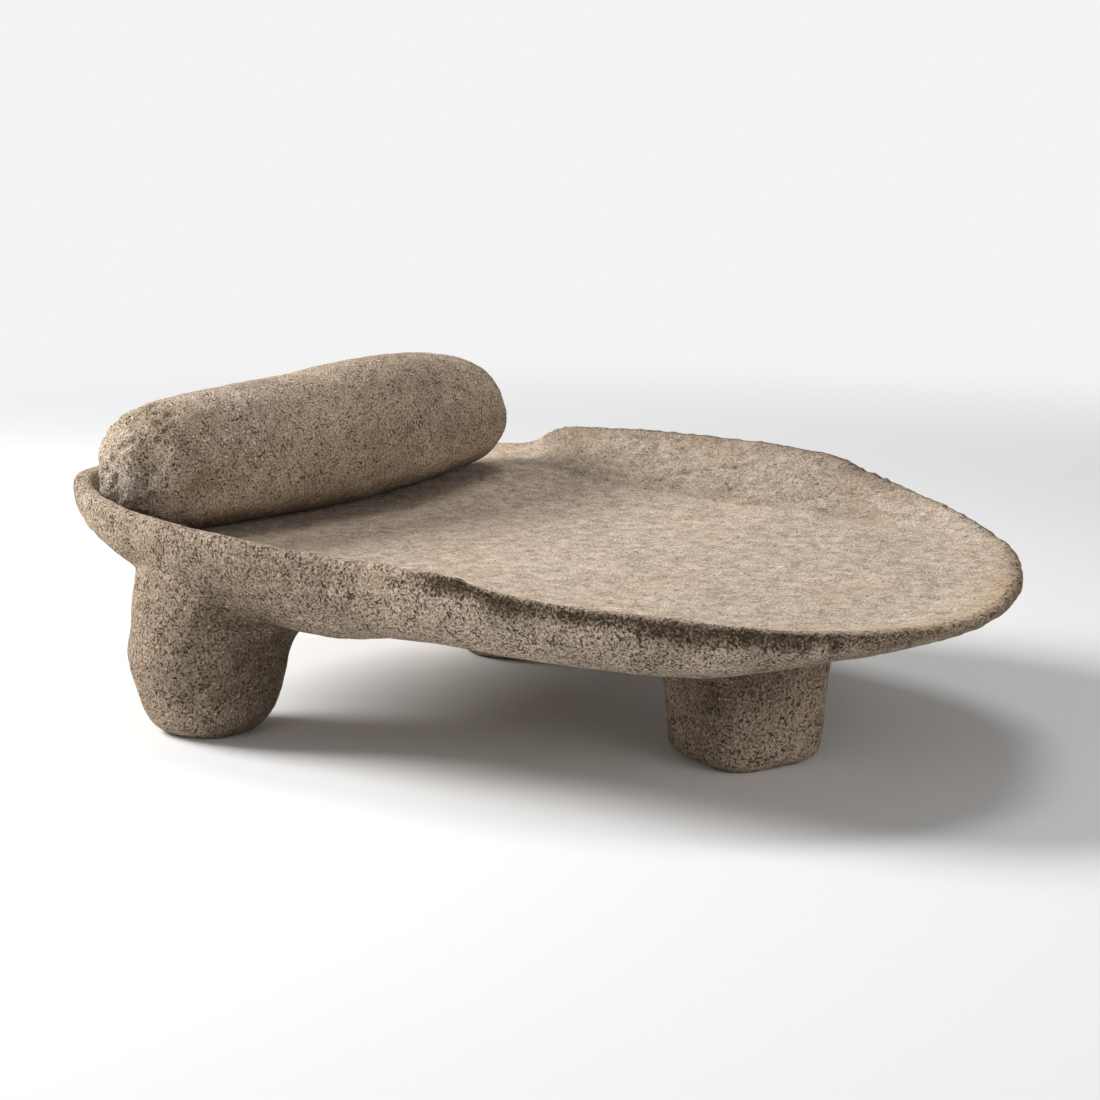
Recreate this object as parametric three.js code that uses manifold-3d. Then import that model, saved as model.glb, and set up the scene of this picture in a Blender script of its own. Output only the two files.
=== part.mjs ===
// A tripod metate and its mano: a grinding slab on three legs, all carved from one stone, and the hand
// stone that is pushed along it. Sizes are in millimetres. X runs from the high end of the slab to the
// low end, Z is up, and the origin is on the floor under the middle of the slab.
import * as THREE from "three";
import { mergeVertices } from "three/addons/utils/BufferGeometryUtils.js";
import Module from "manifold-3d";

const wasm = await Module();
wasm.setup();

// Slab
const slabLength = 492;
const slabWidth = 354;
const faceHeight = 90; // the working face over the floor, at the middle of the slab
const faceFall = 14.3; // how far the working face drops from the high end to the low end
const faceCant = 10; // how much higher the far side of the working face lies than the near side
const hollowDepth = 4; // wear of the working face along the middle of the stroke
const rimRise = 25; // the tallest stretch of rim over the working face
const rimPower = 1.6; // 1 climbs to the rim in a straight line, and higher is hollower
const bellyHeight = 54.5; // the underside over the floor, at the middle of the slab but for its arch
const bellyFall = 24; // how far the underside drops from the high end to the low end
const bellyArch = 4; // how far the underside is arched up between the rear legs and the front leg
const archReach = 90; // from the middle of the arch to its ends
const archForward = 75; // from the middle of the slab to the middle of the arch
const tipLift = 30; // how far the underside climbs again to the tip of the low end
const tailLift = 32; // and to the high end
const slabSteps = 80;

// The outline seen from above, from the low tip and round by the far side. Each row holds the place along
// and across as shares of half the slab, the rise of the rim there as a share of the tallest rim, and the
// share of the way out from the middle at which that rise begins.
const outlineShares = [
  [1.0, -0.07, 0.17, 0.84],
  [0.962, 0.17, 0.19, 0.84],
  [0.862, 0.44, 0.13, 0.84],
  [0.72, 0.7, 0.06, 0.8],
  [0.51, 0.87, 0.25, 0.74],
  [0.3, 0.96, 0.56, 0.68],
  [0.16, 0.99, 0.79, 0.64],
  [-0.1, 1.0, 0.81, 0.62],
  [-0.36, 0.93, 0.79, 0.62],
  [-0.51, 0.85, 0.71, 0.66],
  [-0.61, 0.78, 0.33, 0.72],
  [-0.78, 0.6, 0.42, 0.78],
  [-0.91, 0.34, 0.5, 0.82],
  [-0.98, 0.05, 0.58, 0.84],
  [-1.0, -0.26, 0.7, 0.85],
  [-0.95, -0.54, 0.88, 0.87],
  [-0.84, -0.78, 1.0, 0.88],
  [-0.68, -0.925, 0.91, 0.88],
  [-0.46, -0.99, 0.82, 0.88],
  [-0.2, -1.0, 0.77, 0.88],
  [0.07, -0.936, 0.71, 0.88],
  [0.27, -0.905, 0.7, 0.88],
  [0.36, -0.885, 0.52, 0.88],
  [0.48, -0.846, 0.39, 0.88],
  [0.69, -0.738, 0.31, 0.86],
  [0.85, -0.571, 0.22, 0.84],
  [0.96, -0.326, 0.16, 0.84],
];

// Shares of the way from the middle out to the rim at which the top of the slab has a ring of points
const topRingShares = [0.12, 0.26, 0.4, 0.52, 0.6, 0.67, 0.73, 0.78, 0.83, 0.87, 0.91, 0.94, 0.965, 0.985];
const crestShare = 0.97; // where the rim is at its full height

// The side and underside as pairs: the share of the way out, and the share of the way down to the underside
const sideShares = [
  [0.997, 0.03],
  [1.0, 0.16],
  [0.998, 0.3],
  [0.988, 0.45],
  [0.965, 0.6],
  [0.93, 0.73],
  [0.88, 0.84],
  [0.8, 0.92],
  [0.68, 0.97],
  [0.5, 1.0],
  [0.25, 1.0],
];

// Legs: the foot is flat on the floor and the top runs up into the slab
const legSteps = 32;
const rearLegWidth = 77; // across the widest part of the shaft
const rearLegInset = 138; // from the high end of the slab to the middle of the rear legs
const nearLegInset = 38; // from the near edge of the slab to the middle of the near leg
const farLegInset = 94; // from the far edge to the middle of the far leg
const frontLegWidth = 62;
const frontLegInset = 124; // from the low tip of the slab to the middle of the front leg
const frontLegSide = 15; // how far the front leg stands to the near side of the middle
const frontLegTurn = -14; // degrees

// Leg rings: height as a share of the leg's top, which lies inside the slab, half width as a share of half
// the leg's width, and the lean towards the middle of the slab as a share of the leg's width
const rearLegShares = [
  [0.0, 0.5, 0.0],
  [0.03, 0.62, 0.0],
  [0.08, 0.72, 0.0],
  [0.16, 0.81, 0.0],
  [0.3, 0.9, 0.0],
  [0.42, 0.965, 0.0],
  [0.53, 0.985, 0.01],
  [0.62, 0.99, 0.03],
  [0.69, 1.0, 0.05],
  [0.76, 1.05, 0.1],
  [0.82, 1.1, 0.15],
  [0.9, 1.08, 0.14],
  [1.0, 1.04, 0.13],
];
const frontLegShares = [
  [0.0, 0.74, 0.0],
  [0.04, 0.85, 0.0],
  [0.1, 0.92, 0.0],
  [0.3, 0.96, 0.0],
  [0.45, 1.0, 0.0],
  [0.54, 1.04, 0.0],
  [0.6, 1.12, 0.01],
  [0.67, 1.26, 0.02],
  [1.0, 1.3, 0.03],
];
const legCover = 4; // stone between the top of a leg and the working face
const rearLegSquareness = 2.3; // 2 is an ellipse, and higher is nearer to a square
const frontLegSquareness = 4.2;

// Mano
const manoLength = 255;
const manoWidth = 70; // across its middle
const manoInset = 99; // from the high end of the slab to the middle of the mano
const manoEndInset = 19; // from the near edge of the slab to the near end of the mano
const manoTurn = -5; // degrees from square across the slab
const restGap = 0.3; // between the mano and the working face
const manoSteps = 32;

// The mano from its near end to its far end: place along its length, half width, and how far the middle of
// the section is raised, as shares of the mano's length, half its width and its width. Its back swells to
// the far end, while its underside stays in line.
const manoShares = [
  [0.0, 0.0, 0.0],
  [0.006, 0.27, 0.0],
  [0.02, 0.46, 0.0],
  [0.045, 0.63, 0.0],
  [0.08, 0.75, 0.0],
  [0.13, 0.845, 0.0],
  [0.2, 0.92, 0.0],
  [0.3, 0.965, 0.0],
  [0.42, 0.995, 0.005],
  [0.5, 1.03, 0.02],
  [0.57, 1.055, 0.032],
  [0.65, 1.066, 0.037],
  [0.73, 1.062, 0.038],
  [0.8, 1.04, 0.0345],
  [0.87, 0.975, 0.03],
  [0.92, 0.885, 0.026],
  [0.955, 0.76, 0.02],
  [0.98, 0.58, 0.015],
  [0.994, 0.34, 0.01],
  [1.0, 0.0, 0.01],
];

const half = (size) => size / 2;
const halfLength = half(slabLength);
const halfWidth = half(slabWidth);
const manoBack = halfLength - manoInset;
const manoSide = halfWidth - manoEndInset - half(manoLength);

// A closed smooth curve through rows of numbers, sampled at even steps of its parameter: each column is a
// Catmull-Rom spline, so that heights run round the slab as smoothly as the outline does.
function smoothLoop(rows, count) {
  const spline = (a, b, c, d, t) => {
    const linear = c - a;
    const square = 2 * a - 5 * b + 4 * c - d;
    const cube = 3 * b - a - 3 * c + d;
    return b + half(t * (linear + t * (square + t * cube)));
  };
  const at = (i) => rows[(i + rows.length) % rows.length];
  return Array.from({ length: count }, (_, k) => {
    const place = (k * rows.length) / count;
    const i = Math.floor(place);
    return rows[0].map((_, column) => {
      const [a, b, c, d] = [i - 1, i, i + 1, i + 2].map((n) => at(n)[column]);
      return spline(a, b, c, d, place - i);
    });
  });
}

// Stretches the sampled outline so that it fills the slab's length and width exactly.
function outlinePoints() {
  const loop = smoothLoop(outlineShares, slabSteps);
  const span = (column) => {
    const values = loop.map((row) => row[column]);
    const [least, most] = [Math.min(...values), Math.max(...values)];
    return { middle: half(least + most), reach: half(most - least) };
  };
  const [spanX, spanY] = [span(0), span(1)];
  return loop.map(([along, across, rise, start]) => ({
    x: (halfLength * (along - spanX.middle)) / spanX.reach,
    y: (halfWidth * (across - spanY.middle)) / spanY.reach,
    rise: rimRise * rise,
    start,
  }));
}

const clamp = (value) => Math.min(1, Math.max(0, value));

// The working face is a plane that falls to the low end and leans a little to the near side, worn hollow
// along the track of the mano.
const planeAt = (x, y) => faceHeight - (faceFall * x) / slabLength + (faceCant * y) / slabWidth;
const wearAt = (y) => hollowDepth * (1 - clamp(Math.abs(y + manoSide) / halfWidth) ** 2);
const faceAt = (x, y) => planeAt(x, y) - wearAt(y);

const bellyAt = (x) => {
  const level = bellyHeight - (bellyFall * x) / slabLength;
  const arch = bellyArch * clamp(1 - ((x - archForward) / archReach) ** 2);
  return level + arch + tipLift * clamp(x / halfLength) ** 3 + tailLift * clamp(-x / halfLength) ** 3;
};

// A closed geometry from rings of points, all with the same count, capped by a point at each end.
function shellFromRings(firstPole, rings, lastPole) {
  const count = rings[0].length;
  const points = [firstPole, ...rings.flat(), lastPole];
  const index = [];
  const at = (ring, k) => 1 + ring * count + (k % count);
  for (let k = 0; k < count; k++) {
    index.push(0, at(0, k), at(0, k + 1));
    for (let ring = 0; ring + 1 < rings.length; ring++) {
      index.push(at(ring, k), at(ring + 1, k), at(ring + 1, k + 1));
      index.push(at(ring, k), at(ring + 1, k + 1), at(ring, k + 1));
    }
    index.push(at(rings.length - 1, k), points.length - 1, at(rings.length - 1, k + 1));
  }
  const geometry = new THREE.BufferGeometry();
  geometry.setAttribute("position", new THREE.Float32BufferAttribute(points.flat(), 3));
  geometry.setIndex(index);
  return geometry;
}

// The slab: rings over the worn face, up the rim, over its top, down the side and in along the underside.
function slabGeometry() {
  const outline = outlinePoints();
  const topOf = (p) => faceAt(p.x, p.y) + p.rise;
  const topRings = topRingShares.map((share) =>
    outline.map((p) => {
      const climb = clamp((share - p.start) / (crestShare - p.start)) ** rimPower;
      return [p.x * share, p.y * share, faceAt(p.x * share, p.y * share) + p.rise * climb];
    }),
  );
  const sideRings = sideShares.map(([share, down]) =>
    outline.map((p) => {
      const top = topOf(p);
      return [p.x * share, p.y * share, top - (top - bellyAt(p.x * share)) * down];
    }),
  );
  return shellFromRings([0, 0, faceAt(0, 0)], [...topRings, ...sideRings], [0, 0, bellyAt(0)]);
}

// A leg that stands at x, y: rounded-square rings stacked from the foot up through the slab to just under
// the working face, leaning to the slab's middle.
function legGeometry({ ringShares, width, squareness, turn, x, y }) {
  const [sine, cosine] = [Math.sin(turn), Math.cos(turn)];
  const away = Math.hypot(x, y);
  const top = faceAt(x, y) - legCover;
  const rings = ringShares.map(([heightShare, widthShare, leanShare]) =>
    Array.from({ length: legSteps }, (_, k) => {
      const angle = (2 * Math.PI * k) / legSteps;
      const bend = (value) => Math.sign(value) * Math.abs(value) ** (2 / squareness);
      const reach = half(width) * widthShare;
      const [u, v] = [reach * bend(Math.cos(angle)), reach * bend(Math.sin(angle))];
      const stand = 1 - (width * leanShare) / away;
      return [x * stand + u * cosine - v * sine, y * stand + u * sine + v * cosine, top * heightShare];
    }),
  ).reverse();
  const topStand = 1 - (width * ringShares.at(-1)[2]) / away;
  return shellFromRings([x * topStand, y * topStand, top], rings, [x, y, 0]);
}

// The mano: round rings strung along Y, the near end first.
function manoGeometry() {
  const middles = manoShares.map(([place, , lift]) => [0, manoLength * (place - 0.5), manoWidth * lift]);
  const rings = manoShares.slice(1, -1).map(([, widthShare], i) => {
    const [x, y, z] = middles[i + 1];
    const reach = half(manoWidth) * widthShare;
    return Array.from({ length: manoSteps }, (_, k) => {
      const angle = (2 * Math.PI * k) / manoSteps;
      return [x + reach * Math.cos(angle), y, z + reach * Math.sin(angle)];
    });
  });
  return shellFromRings(middles[0], rings, middles.at(-1));
}

// Booleans work on closed meshes whose shared points are merged.
function solidFrom(geometry) {
  const merged = mergeVertices(geometry);
  return new wasm.Manifold(
    new wasm.Mesh({
      numProp: 3,
      vertProperties: new Float32Array(merged.attributes.position.array),
      triVerts: new Uint32Array(merged.index.array),
    }),
  );
}

function geometryFrom(solid) {
  const mesh = solid.getMesh();
  const geometry = new THREE.BufferGeometry();
  geometry.setAttribute("position", new THREE.BufferAttribute(new Float32Array(mesh.vertProperties), 3));
  geometry.setIndex(new THREE.BufferAttribute(new Uint32Array(mesh.triVerts), 1));
  geometry.computeVertexNormals();
  return geometry;
}

const stone = new THREE.MeshStandardMaterial({ color: 0xb6a592, roughness: 0.92, metalness: 0 });
const darkStone = new THREE.MeshStandardMaterial({ color: 0x7d6e5d, roughness: 0.9, metalness: 0 });

function makeMetate() {
  const rearLeg = {
    ringShares: rearLegShares,
    width: rearLegWidth,
    squareness: rearLegSquareness,
    turn: 0,
    x: rearLegInset - halfLength,
  };
  const frontLeg = {
    ringShares: frontLegShares,
    width: frontLegWidth,
    squareness: frontLegSquareness,
    turn: THREE.MathUtils.degToRad(frontLegTurn),
    x: halfLength - frontLegInset,
    y: -frontLegSide,
  };
  const legs = [
    { ...rearLeg, y: nearLegInset - halfWidth },
    { ...rearLeg, y: halfWidth - farLegInset },
    frontLeg,
  ];
  const slab = solidFrom(slabGeometry());
  const carved = legs.reduce((stoneSoFar, leg) => stoneSoFar.add(solidFrom(legGeometry(leg))), slab);
  const mesh = new THREE.Mesh(geometryFrom(carved), stone);
  mesh.name = "metate";
  return mesh;
}

function makeMano() {
  const mesh = new THREE.Mesh(manoGeometry(), darkStone);
  mesh.name = "mano";
  const turn = THREE.MathUtils.degToRad(manoTurn);
  const [acrossX, acrossY] = [-Math.sin(turn) * manoLength, Math.cos(turn) * manoLength];
  const rise = planeAt(acrossX, acrossY) - planeAt(0, 0); // from its near end to its far end
  mesh.position.set(-manoBack, -manoSide, faceAt(-manoBack, -manoSide) + half(manoWidth) + restGap);
  mesh.rotation.order = "ZXY";
  mesh.rotation.z = turn;
  mesh.rotation.x = Math.asin(rise / manoLength);
  return mesh;
}

const assembly = new THREE.Group();
assembly.add(makeMetate(), makeMano());

export default assembly;
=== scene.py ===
# A tripod metate of vesicular basalt with its mano resting on it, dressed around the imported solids.
import itertools
import math
import bpy
import numpy as np
from mathutils import Matrix, Vector


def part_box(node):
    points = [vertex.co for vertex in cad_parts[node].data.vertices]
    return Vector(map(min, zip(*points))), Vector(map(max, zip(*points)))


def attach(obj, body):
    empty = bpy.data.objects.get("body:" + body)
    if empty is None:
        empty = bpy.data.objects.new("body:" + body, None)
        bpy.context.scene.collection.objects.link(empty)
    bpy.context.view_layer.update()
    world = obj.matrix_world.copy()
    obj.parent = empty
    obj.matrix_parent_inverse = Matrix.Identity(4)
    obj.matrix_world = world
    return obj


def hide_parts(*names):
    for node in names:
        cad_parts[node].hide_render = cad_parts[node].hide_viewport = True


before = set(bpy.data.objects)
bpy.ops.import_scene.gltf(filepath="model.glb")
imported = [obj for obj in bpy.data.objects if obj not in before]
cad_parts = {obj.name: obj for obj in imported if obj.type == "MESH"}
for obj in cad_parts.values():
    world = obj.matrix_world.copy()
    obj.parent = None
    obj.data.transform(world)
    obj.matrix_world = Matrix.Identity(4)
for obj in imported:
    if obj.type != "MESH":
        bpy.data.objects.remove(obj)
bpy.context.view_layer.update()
mm = 0.001  # shapes are worked out in millimetres, and the scene's unit is the metre

packed = np.array(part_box("metate")) / mm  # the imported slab's low and high corners
packedSpan = packed[1] - packed[0]


# Noise and small helpers, all on whole arrays

# Large factors, shifts and a range of bits to keep, which give neighbouring cells unlike numbers
scatter = {
    "axes": np.array([73856093, 19349663, 83492791]), "seed": 9176363, "mix": 1274126177,
    "shifts": (13, 16), "keep": 0xFFFFFF,
}
pitRadius = {"least": 0.25, "spread": 0.4}  # as shares of the pit's cell


def smoothStep(low, high, values):
    # 0 under low, 1 over high, and an S curve between them
    t = np.clip((values - low) / (high - low), 0, 1)
    return t * t * (3 - 2 * t)


def bellCurve(distance, reach):
    # 1 where there is no distance, falling as a bell curve to about a third at the reach
    return np.exp(-(distance / reach) ** 2)


def hashed(cells, seed):
    # one even random number from 0 to 1 for each cell of a cubic lattice
    first, second = scatter["shifts"]
    mixed = (cells * scatter["axes"]).sum(axis=1) + seed * scatter["seed"]
    mixed = (mixed ^ (mixed >> first)) * scatter["mix"]
    return ((mixed ^ (mixed >> second)) & scatter["keep"]) / float(scatter["keep"])


def latticeNoise(points, cell, seed):
    # random heights from -1 to 1 at the corners of cubes, blended inside each cube by an S curve per axis
    placed = points / cell
    corner = np.floor(placed).astype(np.int64)
    part = placed - corner
    part = part * part * (3 - 2 * part)
    total = np.zeros(len(points))
    for step in itertools.product((0, 1), repeat=3):
        weight = np.where(step, part, 1 - part).prod(axis=1)
        total += weight * (2 * hashed(corner + np.array(step), seed) - 1)
    return total


def layeredNoise(points, cell, layers, seed):
    # lattice noise, plus the same at half the size and half the height, and so on
    total = sum(latticeNoise(points, cell / 2 ** k, seed + k) / 2 ** k for k in range(layers))
    return total / (2 - 0.5 ** (layers - 1))


def pitField(points, cell, cover, seed):
    # One round pit in some cells of a lattice, the share of them being the cover: 1 at the middle of a
    # pit, falling as a parabola to 0 at its edge.
    placed = points / cell
    home = np.floor(placed).astype(np.int64)
    depth = np.zeros(len(points))
    for step in itertools.product((-1, 0, 1), repeat=3):
        near = home + np.array(step)
        middle = near + np.stack([hashed(near, seed + k) for k in range(3)], axis=1)
        size = pitRadius["least"] + pitRadius["spread"] * hashed(near, seed + 3)
        there = hashed(near, seed + 4) < cover
        away = np.linalg.norm(placed - middle, axis=1) / size
        depth = np.maximum(depth, there * np.clip(1 - away ** 2, 0, 1))
    return depth


def brokenSkin(points, look):
    # the height of broken stone: layered noise, less an even loss and less pits
    waves = look["height"] * layeredNoise(points, *look["waves"])
    return waves - look["loss"] - look["depth"] * pitField(points, *look["pits"])


def smoothBetween(a, b, c, d, t):
    # A cubic from b to c, at the share t of the way. Its slope is half the way from a to c at b, and half
    # the way from b to d at c.
    return b + t / 2 * (c - a + t * (2 * a - 5 * b + 4 * c - d + t * (3 * b - a - 3 * c + d)))


def closedCurve(rows, count):
    # a smooth curve through rows of numbers that ends where it begins, at even steps
    place = np.arange(count) * len(rows) / count
    i = np.floor(place).astype(int)
    beside = (rows[(i + k) % len(rows)] for k in (-1, 0, 1, 2))
    return smoothBetween(*beside, (place - i)[:, None])


def openCurve(rows, count):
    # the same through rows with a first and a last one
    place = np.linspace(0, len(rows) - 1, count)
    i = np.minimum(np.floor(place).astype(int), len(rows) - 2)
    beside = (rows[np.clip(i + k, 0, len(rows) - 1)] for k in (-1, 0, 1, 2))
    return smoothBetween(*beside, (place - i)[:, None])


def shellMesh(name, first, rings, last):
    # rings of points, shape (ring, around, 3), closed by a point at each end
    count, around = rings.shape[:2]
    points = np.concatenate([[first], rings.reshape(-1, 3), [last]]) * mm
    ring, k = np.meshgrid(np.arange(count - 1), np.arange(around), indexing="ij")
    here, after = 1 + ring * around + k, 1 + ring * around + (k + 1) % around
    quads = np.stack([here, here + around, after + around, after], axis=-1).reshape(-1, 4)
    k = np.arange(around)
    final = len(points) - 1
    caps = [np.stack([0 * k, 1 + k, 1 + (k + 1) % around], axis=1)]
    lastRing = 1 + (count - 1) * around
    caps.append(np.stack([0 * k + final, lastRing + (k + 1) % around, lastRing + k], axis=1))
    mesh = bpy.data.meshes.new(name)
    mesh.from_pydata(points, [], quads.tolist() + np.concatenate(caps).tolist())
    piece = bpy.data.objects.new(name, mesh)
    bpy.context.scene.collection.objects.link(piece)
    return piece


def meshPoints(mesh):
    points = np.empty(len(mesh.vertices) * 3, np.float32)
    mesh.vertices.foreach_get("co", points)
    return points.reshape(-1, 3).astype(float) / mm


def meshNormals(mesh):
    normals = np.empty(len(mesh.vertices) * 3, np.float32)
    mesh.vertex_normals.foreach_get("vector", normals)
    return normals.reshape(-1, 3).astype(float)


def setPoints(mesh, points):
    mesh.vertices.foreach_set("co", (points * mm).astype(np.float32).ravel())
    mesh.update()


def setMasks(mesh, masks):
    # each mask is a number per point that the material reads by its name
    for name, values in masks.items():
        mask = mesh.attributes.new(name, "FLOAT", "POINT")
        mask.data.foreach_set("value", np.clip(values, 0, 1).astype(np.float32))


def relax(mesh, points, weights, turns):
    # each turn moves a point towards the mean of its neighbours by half its weight
    ends = np.empty(len(mesh.edges) * 2, np.int64)
    mesh.edges.foreach_get("vertices", ends)
    a, b = ends.reshape(-1, 2).T
    size = len(points)
    joined = np.maximum(np.bincount(a, minlength=size) + np.bincount(b, minlength=size), 1)
    for _ in range(turns):
        mean = np.stack([
            np.bincount(a, points[b, axis], size) + np.bincount(b, points[a, axis], size)
            for axis in range(3)
        ], axis=1) / joined[:, None]
        points = points + (mean - points) * (weights / 2)[:, None]
    return points


# The metate's slab

slab = {
    "length": packedSpan[0] - 1.4, "width": packedSpan[1] - 1.4,  # a little room for the rough skin
    "faceHeight": 90, "faceFall": 14.3, "faceCant": 10,  # the working face: its height, slope and lean
    "hollow": 4, "track": 30.5,  # wear along the mano's track, which runs this far to the near side
    "rim": 25, "crest": 0.965, "rimPower": 1.6,
    "chips": 0.3, "wideChips": (13, 3), "narrowChips": (5, 4),  # a height, and noises as width and seed
    "chippedFrom": 3,  # chips are on rims that rise more than this
    "bellyHeight": 54.5, "bellyFall": 24, "bellyArch": 5.5, "archForward": 72, "archReach": 85,
    "sag": 3.0, "sagAt": -30, "sagReach": 24,  # the underside hangs lower just past the rear legs
    "tipLift": 30, "tailLift": 32,
    "grooveDepth": 2.4, "grooveDrop": 5.0, "grooveSpread": 3.0,  # the undercut below the near lip
    "grooveFrom": 0.9,  # the share of the way out where the undercut can begin
    "swell": 5.6,  # how far the face rises under the far half of the resting mano
    "swellY": (0, 75), "swellX": (-45, -115), "swellShare": (0.95, 0.76),
    "around": 720, "across": 110, "down": 80, "acrossShares": (0.02, 0.99), "crowding": 1.25,
}

# Outline from the low tip round by the far side: along, across, rise of the rim, where the rise begins
outlineShares = np.array([
    [1.0, -0.07, 0.17, 0.84], [0.962, 0.17, 0.19, 0.84], [0.862, 0.44, 0.13, 0.84],
    [0.72, 0.7, 0.06, 0.8], [0.51, 0.87, 0.25, 0.74], [0.3, 0.96, 0.56, 0.68],
    [0.16, 0.99, 0.79, 0.64], [-0.1, 1.0, 0.81, 0.62], [-0.36, 0.93, 0.79, 0.62],
    [-0.47, 0.875, 0.75, 0.66], [-0.52, 0.845, 0.68, 0.68], [-0.575, 0.805, 0.36, 0.72],
    [-0.64, 0.755, 0.32, 0.72], [-0.78, 0.6, 0.42, 0.78],
    [-0.91, 0.34, 0.5, 0.82], [-0.98, 0.05, 0.58, 0.84], [-1.0, -0.26, 0.7, 0.85],
    [-0.95, -0.54, 0.88, 0.87], [-0.84, -0.78, 1.0, 0.88], [-0.68, -0.925, 0.91, 0.88],
    [-0.46, -0.99, 0.82, 0.88], [-0.2, -1.0, 0.77, 0.88], [0.07, -0.936, 0.71, 0.88],
    [0.27, -0.905, 0.7, 0.88], [0.36, -0.885, 0.54, 0.88], [0.48, -0.846, 0.46, 0.88],
    [0.69, -0.738, 0.41, 0.86], [0.85, -0.571, 0.29, 0.84], [0.96, -0.326, 0.18, 0.84],
])
# Side and underside: the share of the way out, and the share of the way down to the underside
sideShares = np.array([
    [0.99, -0.004], [0.997, 0.02], [1.0, 0.12], [0.998, 0.3], [0.988, 0.45], [0.965, 0.6],
    [0.93, 0.73], [0.88, 0.84], [0.8, 0.92], [0.68, 0.97], [0.5, 1.0], [0.25, 1.0],
])
# Where the near edge has lost its rim, along x and y; past the turn it runs on round the low tip
lip = {"x": (30, 62), "y": (60, 10), "turnX": 170, "turn": 0.5}


def faceAt(x, y):
    # a plane that falls along x and leans along y, less a parabola of wear either side of the mano's track
    plane = slab["faceHeight"] - slab["faceFall"] * x / packedSpan[0] + slab["faceCant"] * y / packedSpan[1]
    away = np.clip(2 * np.abs(y + slab["track"]) / packedSpan[1], 0, 1)
    return plane - slab["hollow"] * (1 - away ** 2)


def bellyAt(x):
    # A sloping line, arched by a parabola between the legs, that climbs as a cube towards each end and
    # sags by a bell curve past the rear legs.
    along = 2 * x / packedSpan[0]
    arch = slab["bellyArch"] * np.clip(1 - ((x - slab["archForward"]) / slab["archReach"]) ** 2, 0, 1)
    ends = slab["tipLift"] * np.clip(along, 0, 1) ** 3 + slab["tailLift"] * np.clip(-along, 0, 1) ** 3
    sag = slab["sag"] * bellCurve(x - slab["sagAt"], slab["sagReach"])
    return slab["bellyHeight"] - slab["bellyFall"] * along / 2 + arch - sag + ends


def outline():
    # the outline's x and y, stretched to the slab's length and width, the rise of the rim and its start
    rows = closedCurve(outlineShares, slab["around"])
    low, high = rows.min(axis=0), rows.max(axis=0)
    x = slab["length"] / 2 * (2 * rows[:, 0] - low[0] - high[0]) / (high[0] - low[0])
    y = slab["width"] / 2 * (2 * rows[:, 1] - low[1] - high[1]) / (high[1] - low[1])
    return x, y, slab["rim"] * rows[:, 2], rows[:, 3]


def edgeBeyond(x, y):
    # For each point, looked up by its direction from the middle: its share of the way out to the outline,
    # the height of the rim's top there, and the share where the rim begins to rise.
    edgeX, edgeY, rise, start = outline()
    heading = np.arctan2(edgeY, edgeX)
    order = np.argsort(heading)
    values = (np.hypot(edgeX, edgeY), faceAt(edgeX, edgeY) + rise, start)
    reach, top, begin = (
        np.interp(np.arctan2(y, x), heading[order], value[order], period=2 * np.pi) for value in values
    )
    return np.hypot(x, y) / reach, top, begin


def lipMask(x, y):
    beyond = lip["turn"] * np.clip(x - lip["turnX"], 0, None)
    return smoothStep(*lip["x"], x) * smoothStep(*lip["y"], y - beyond)


def makeSlab():
    # Rings out over the worn face and up the rim, where the rise grows as a power of the share of the way
    # out, then down the side by the side shares. Under the near lip a bell curve cuts the groove.
    x, y, rise, start = outline()
    crest = np.stack([x, y, 0 * x], axis=1)
    chips = latticeNoise(crest, *slab["wideChips"]) + 0.5 * latticeNoise(crest, *slab["narrowChips"])
    rise = rise + slab["chips"] * chips * (rise > slab["chippedFrom"])
    steps = np.linspace(*slab["acrossShares"], slab["across"])
    share = (1 - (1 - steps) ** slab["crowding"])[:, None]
    climb = np.clip((share - start) / (slab["crest"] - start), 0, 1) ** slab["rimPower"]
    topX, topY = x * share, y * share
    top = np.stack([topX, topY, faceAt(topX, topY) + rise * climb], axis=-1)
    out, down = (column[:, None] for column in openCurve(sideShares, slab["down"]).T)
    edge = faceAt(x, y) + rise
    sideZ = edge - (edge - bellyAt(x * out)) * down
    groove = bellCurve(edge - sideZ - slab["grooveDrop"], slab["grooveSpread"]) * lipMask(x, y)
    inward = 1 - slab["grooveDepth"] * groove * (out > slab["grooveFrom"]) / np.hypot(x, y)
    side = np.stack([x * out * inward, y * out * inward, sideZ], axis=-1)
    rings = np.concatenate([top, side[1:]])
    return shellMesh("slab", (0, 0, faceAt(0, 0)), rings, (0, 0, bellyAt(0)))


# The metate's legs, their rings as height, half width and lean towards the middle

rearLeg = {
    "width": 76.4, "squareness": 2.3, "turn": 0, "x": -108, "nearY": -139, "farY": 83, "cover": 4,
    "rings": np.array([
        [0.0, 0.5, 0.0], [0.03, 0.62, 0.0], [0.08, 0.72, 0.0], [0.16, 0.81, 0.0], [0.3, 0.9, 0.0],
        [0.42, 0.965, 0.0], [0.52, 0.99, 0.015], [0.6, 1.03, 0.05], [0.66, 1.1, 0.1],
        [0.71, 1.14, 0.12], [0.8, 1.18, 0.15], [0.9, 1.12, 0.14], [1.0, 1.04, 0.13],
    ]),
}
frontLeg = {
    "width": 63.6, "squareness": 4.2, "turn": -18, "x": 121, "nearY": -16.2, "cover": 4,
    "rings": np.array([
        [0.0, 0.75, 0.0], [0.04, 0.88, 0.0], [0.1, 0.935, 0.0], [0.3, 0.965, 0.0], [0.45, 1.0, 0.0],
        [0.52, 1.05, 0.03], [0.58, 1.12, 0.07], [0.64, 1.22, 0.12], [1.0, 1.26, 0.14],
    ]),
}
legGrid = {"around": 140, "up": 70}


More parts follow.
